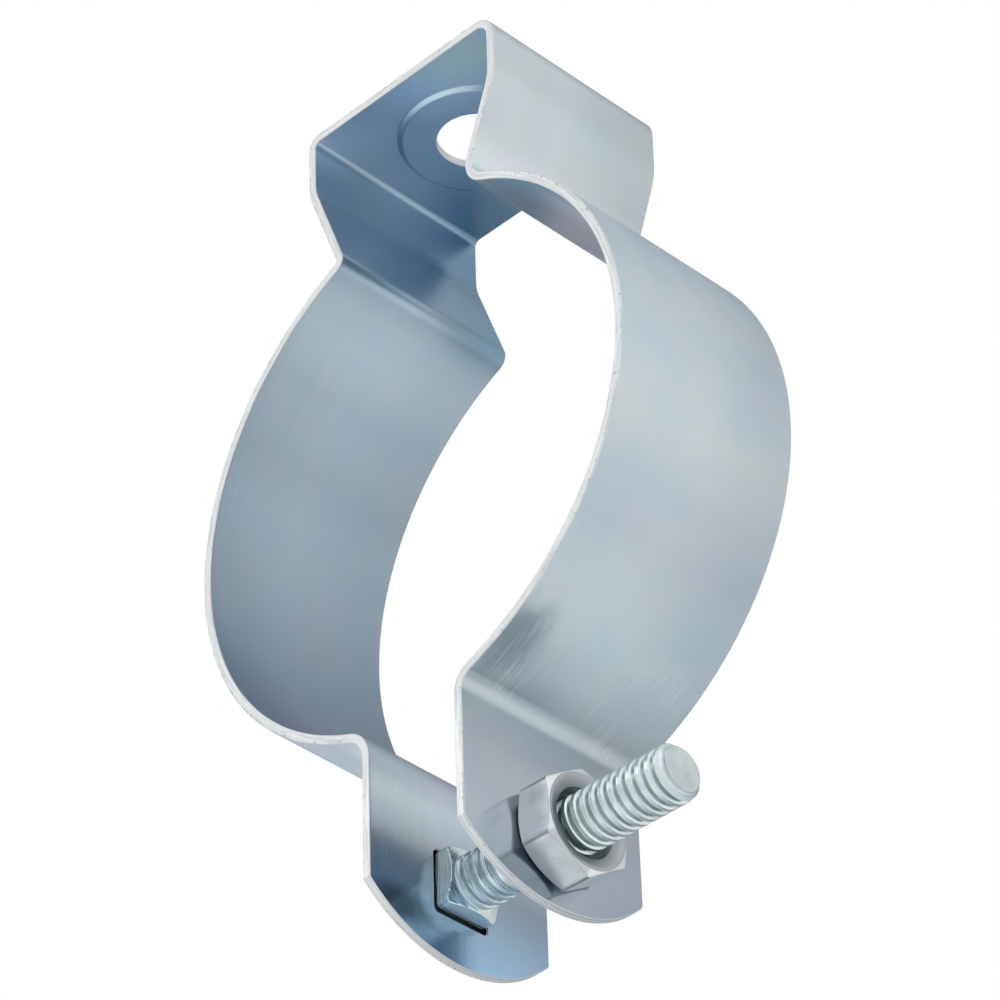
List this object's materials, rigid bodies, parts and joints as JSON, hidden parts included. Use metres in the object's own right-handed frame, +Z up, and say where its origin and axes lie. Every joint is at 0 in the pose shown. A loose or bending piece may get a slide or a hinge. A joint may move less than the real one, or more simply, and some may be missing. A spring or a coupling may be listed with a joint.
{
  "type": "conduit hanger",
  "caption": "Folded steel strap hanger that hangs from a hole in its crown and closes round a conduit with a cross bolt and hex nut through its ears.",
  "frame": {"origin": "centre of the round conduit space, halfway along the strap's width and midway between the flat ears", "axes": "+Z up, towards the crown that is screwed to the structure; +X along the cross bolt, towards the nut; +Y along the conduit"},
  "size_m": [0.0634, 0.0254, 0.1087],
  "materials": {
    "strap_zinc": "zinc plated sheet, satin, blue-grey",
    "bolt_zinc": "bright zinc plate, rolled thread",
    "nut_zinc": "bright zinc plate"
  },
  "bodies": {
    "strap": {"hanger_strap": "strap_zinc"},
    "bolt": {"carriage_bolt": "bolt_zinc"},
    "nut": {"hex_nut": "nut_zinc"}
  },
  "joints": [
    {"name": "nut_turn", "type": "hinge", "parent": "strap", "child": "nut", "pos_m": [0.0075, 0, -0.04699], "axis": [0.9997, 0, -0.0262], "range_deg": [0, 720]},
    {"name": "bolt_slide", "type": "slide", "parent": "strap", "child": "bolt", "axis": [0.9997, 0, -0.0262], "range_m": [-0.00254, 0]}
  ],
  "couplings": [
    {"joint": "nut_turn", "follows": "bolt_slide", "rad_per_m": -4947.3}
  ]
}
